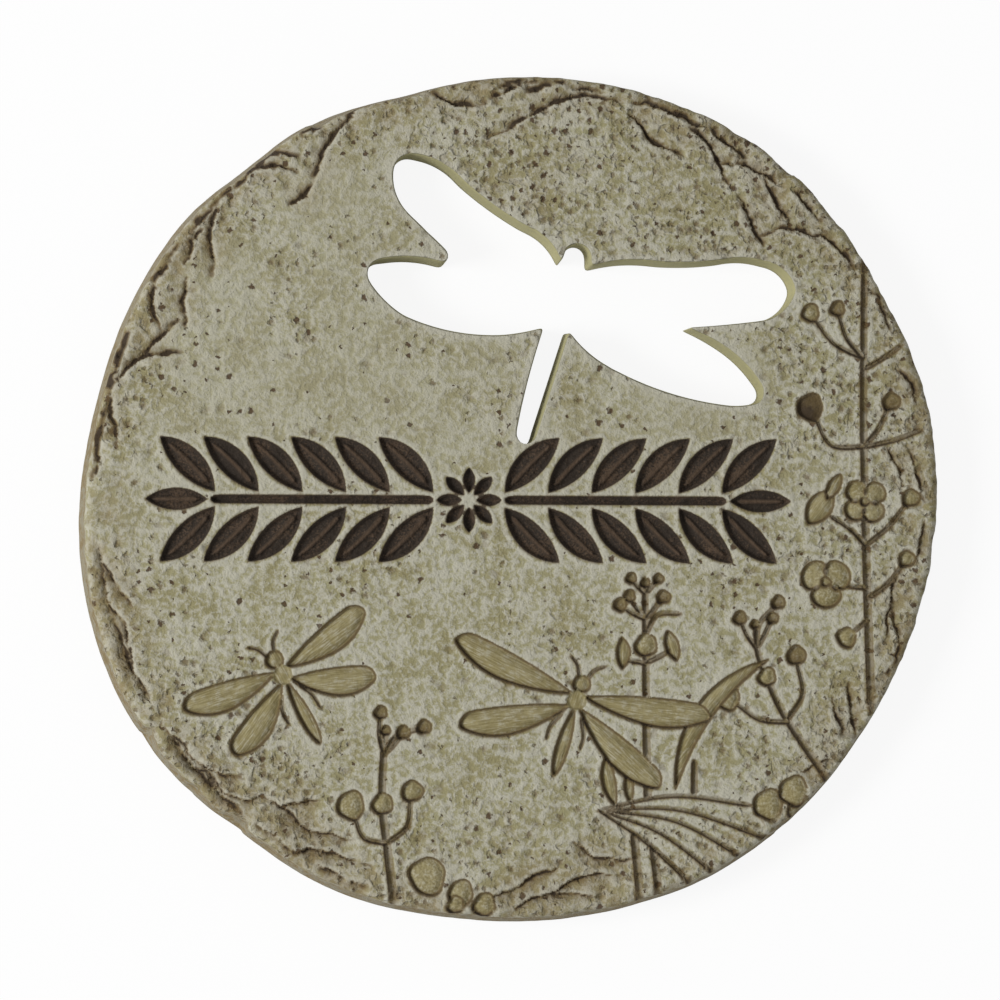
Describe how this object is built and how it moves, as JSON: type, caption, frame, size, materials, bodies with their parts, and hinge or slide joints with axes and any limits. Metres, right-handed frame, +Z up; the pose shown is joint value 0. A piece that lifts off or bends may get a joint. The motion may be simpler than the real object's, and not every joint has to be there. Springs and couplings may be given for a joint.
{
  "type": "garden stepping stone",
  "caption": "Round cast stepping stone with a rough broken rim, sunk garden relief on its face and a dragonfly-shaped opening right through it.",
  "frame": {"origin": "on the underside, below the middle of the slab", "axes": "+Z up out of the carved face, +Y towards the dragonfly opening, +X to its right"},
  "size_m": [0.2541, 0.2495, 0.015],
  "materials": {
    "cast_stone": "sandy khaki cement, brushed pale on the high spots and stained brown in the hollows"
  },
  "bodies": {
    "root": {"stone": "cast_stone"}
  },
  "joints": []
}
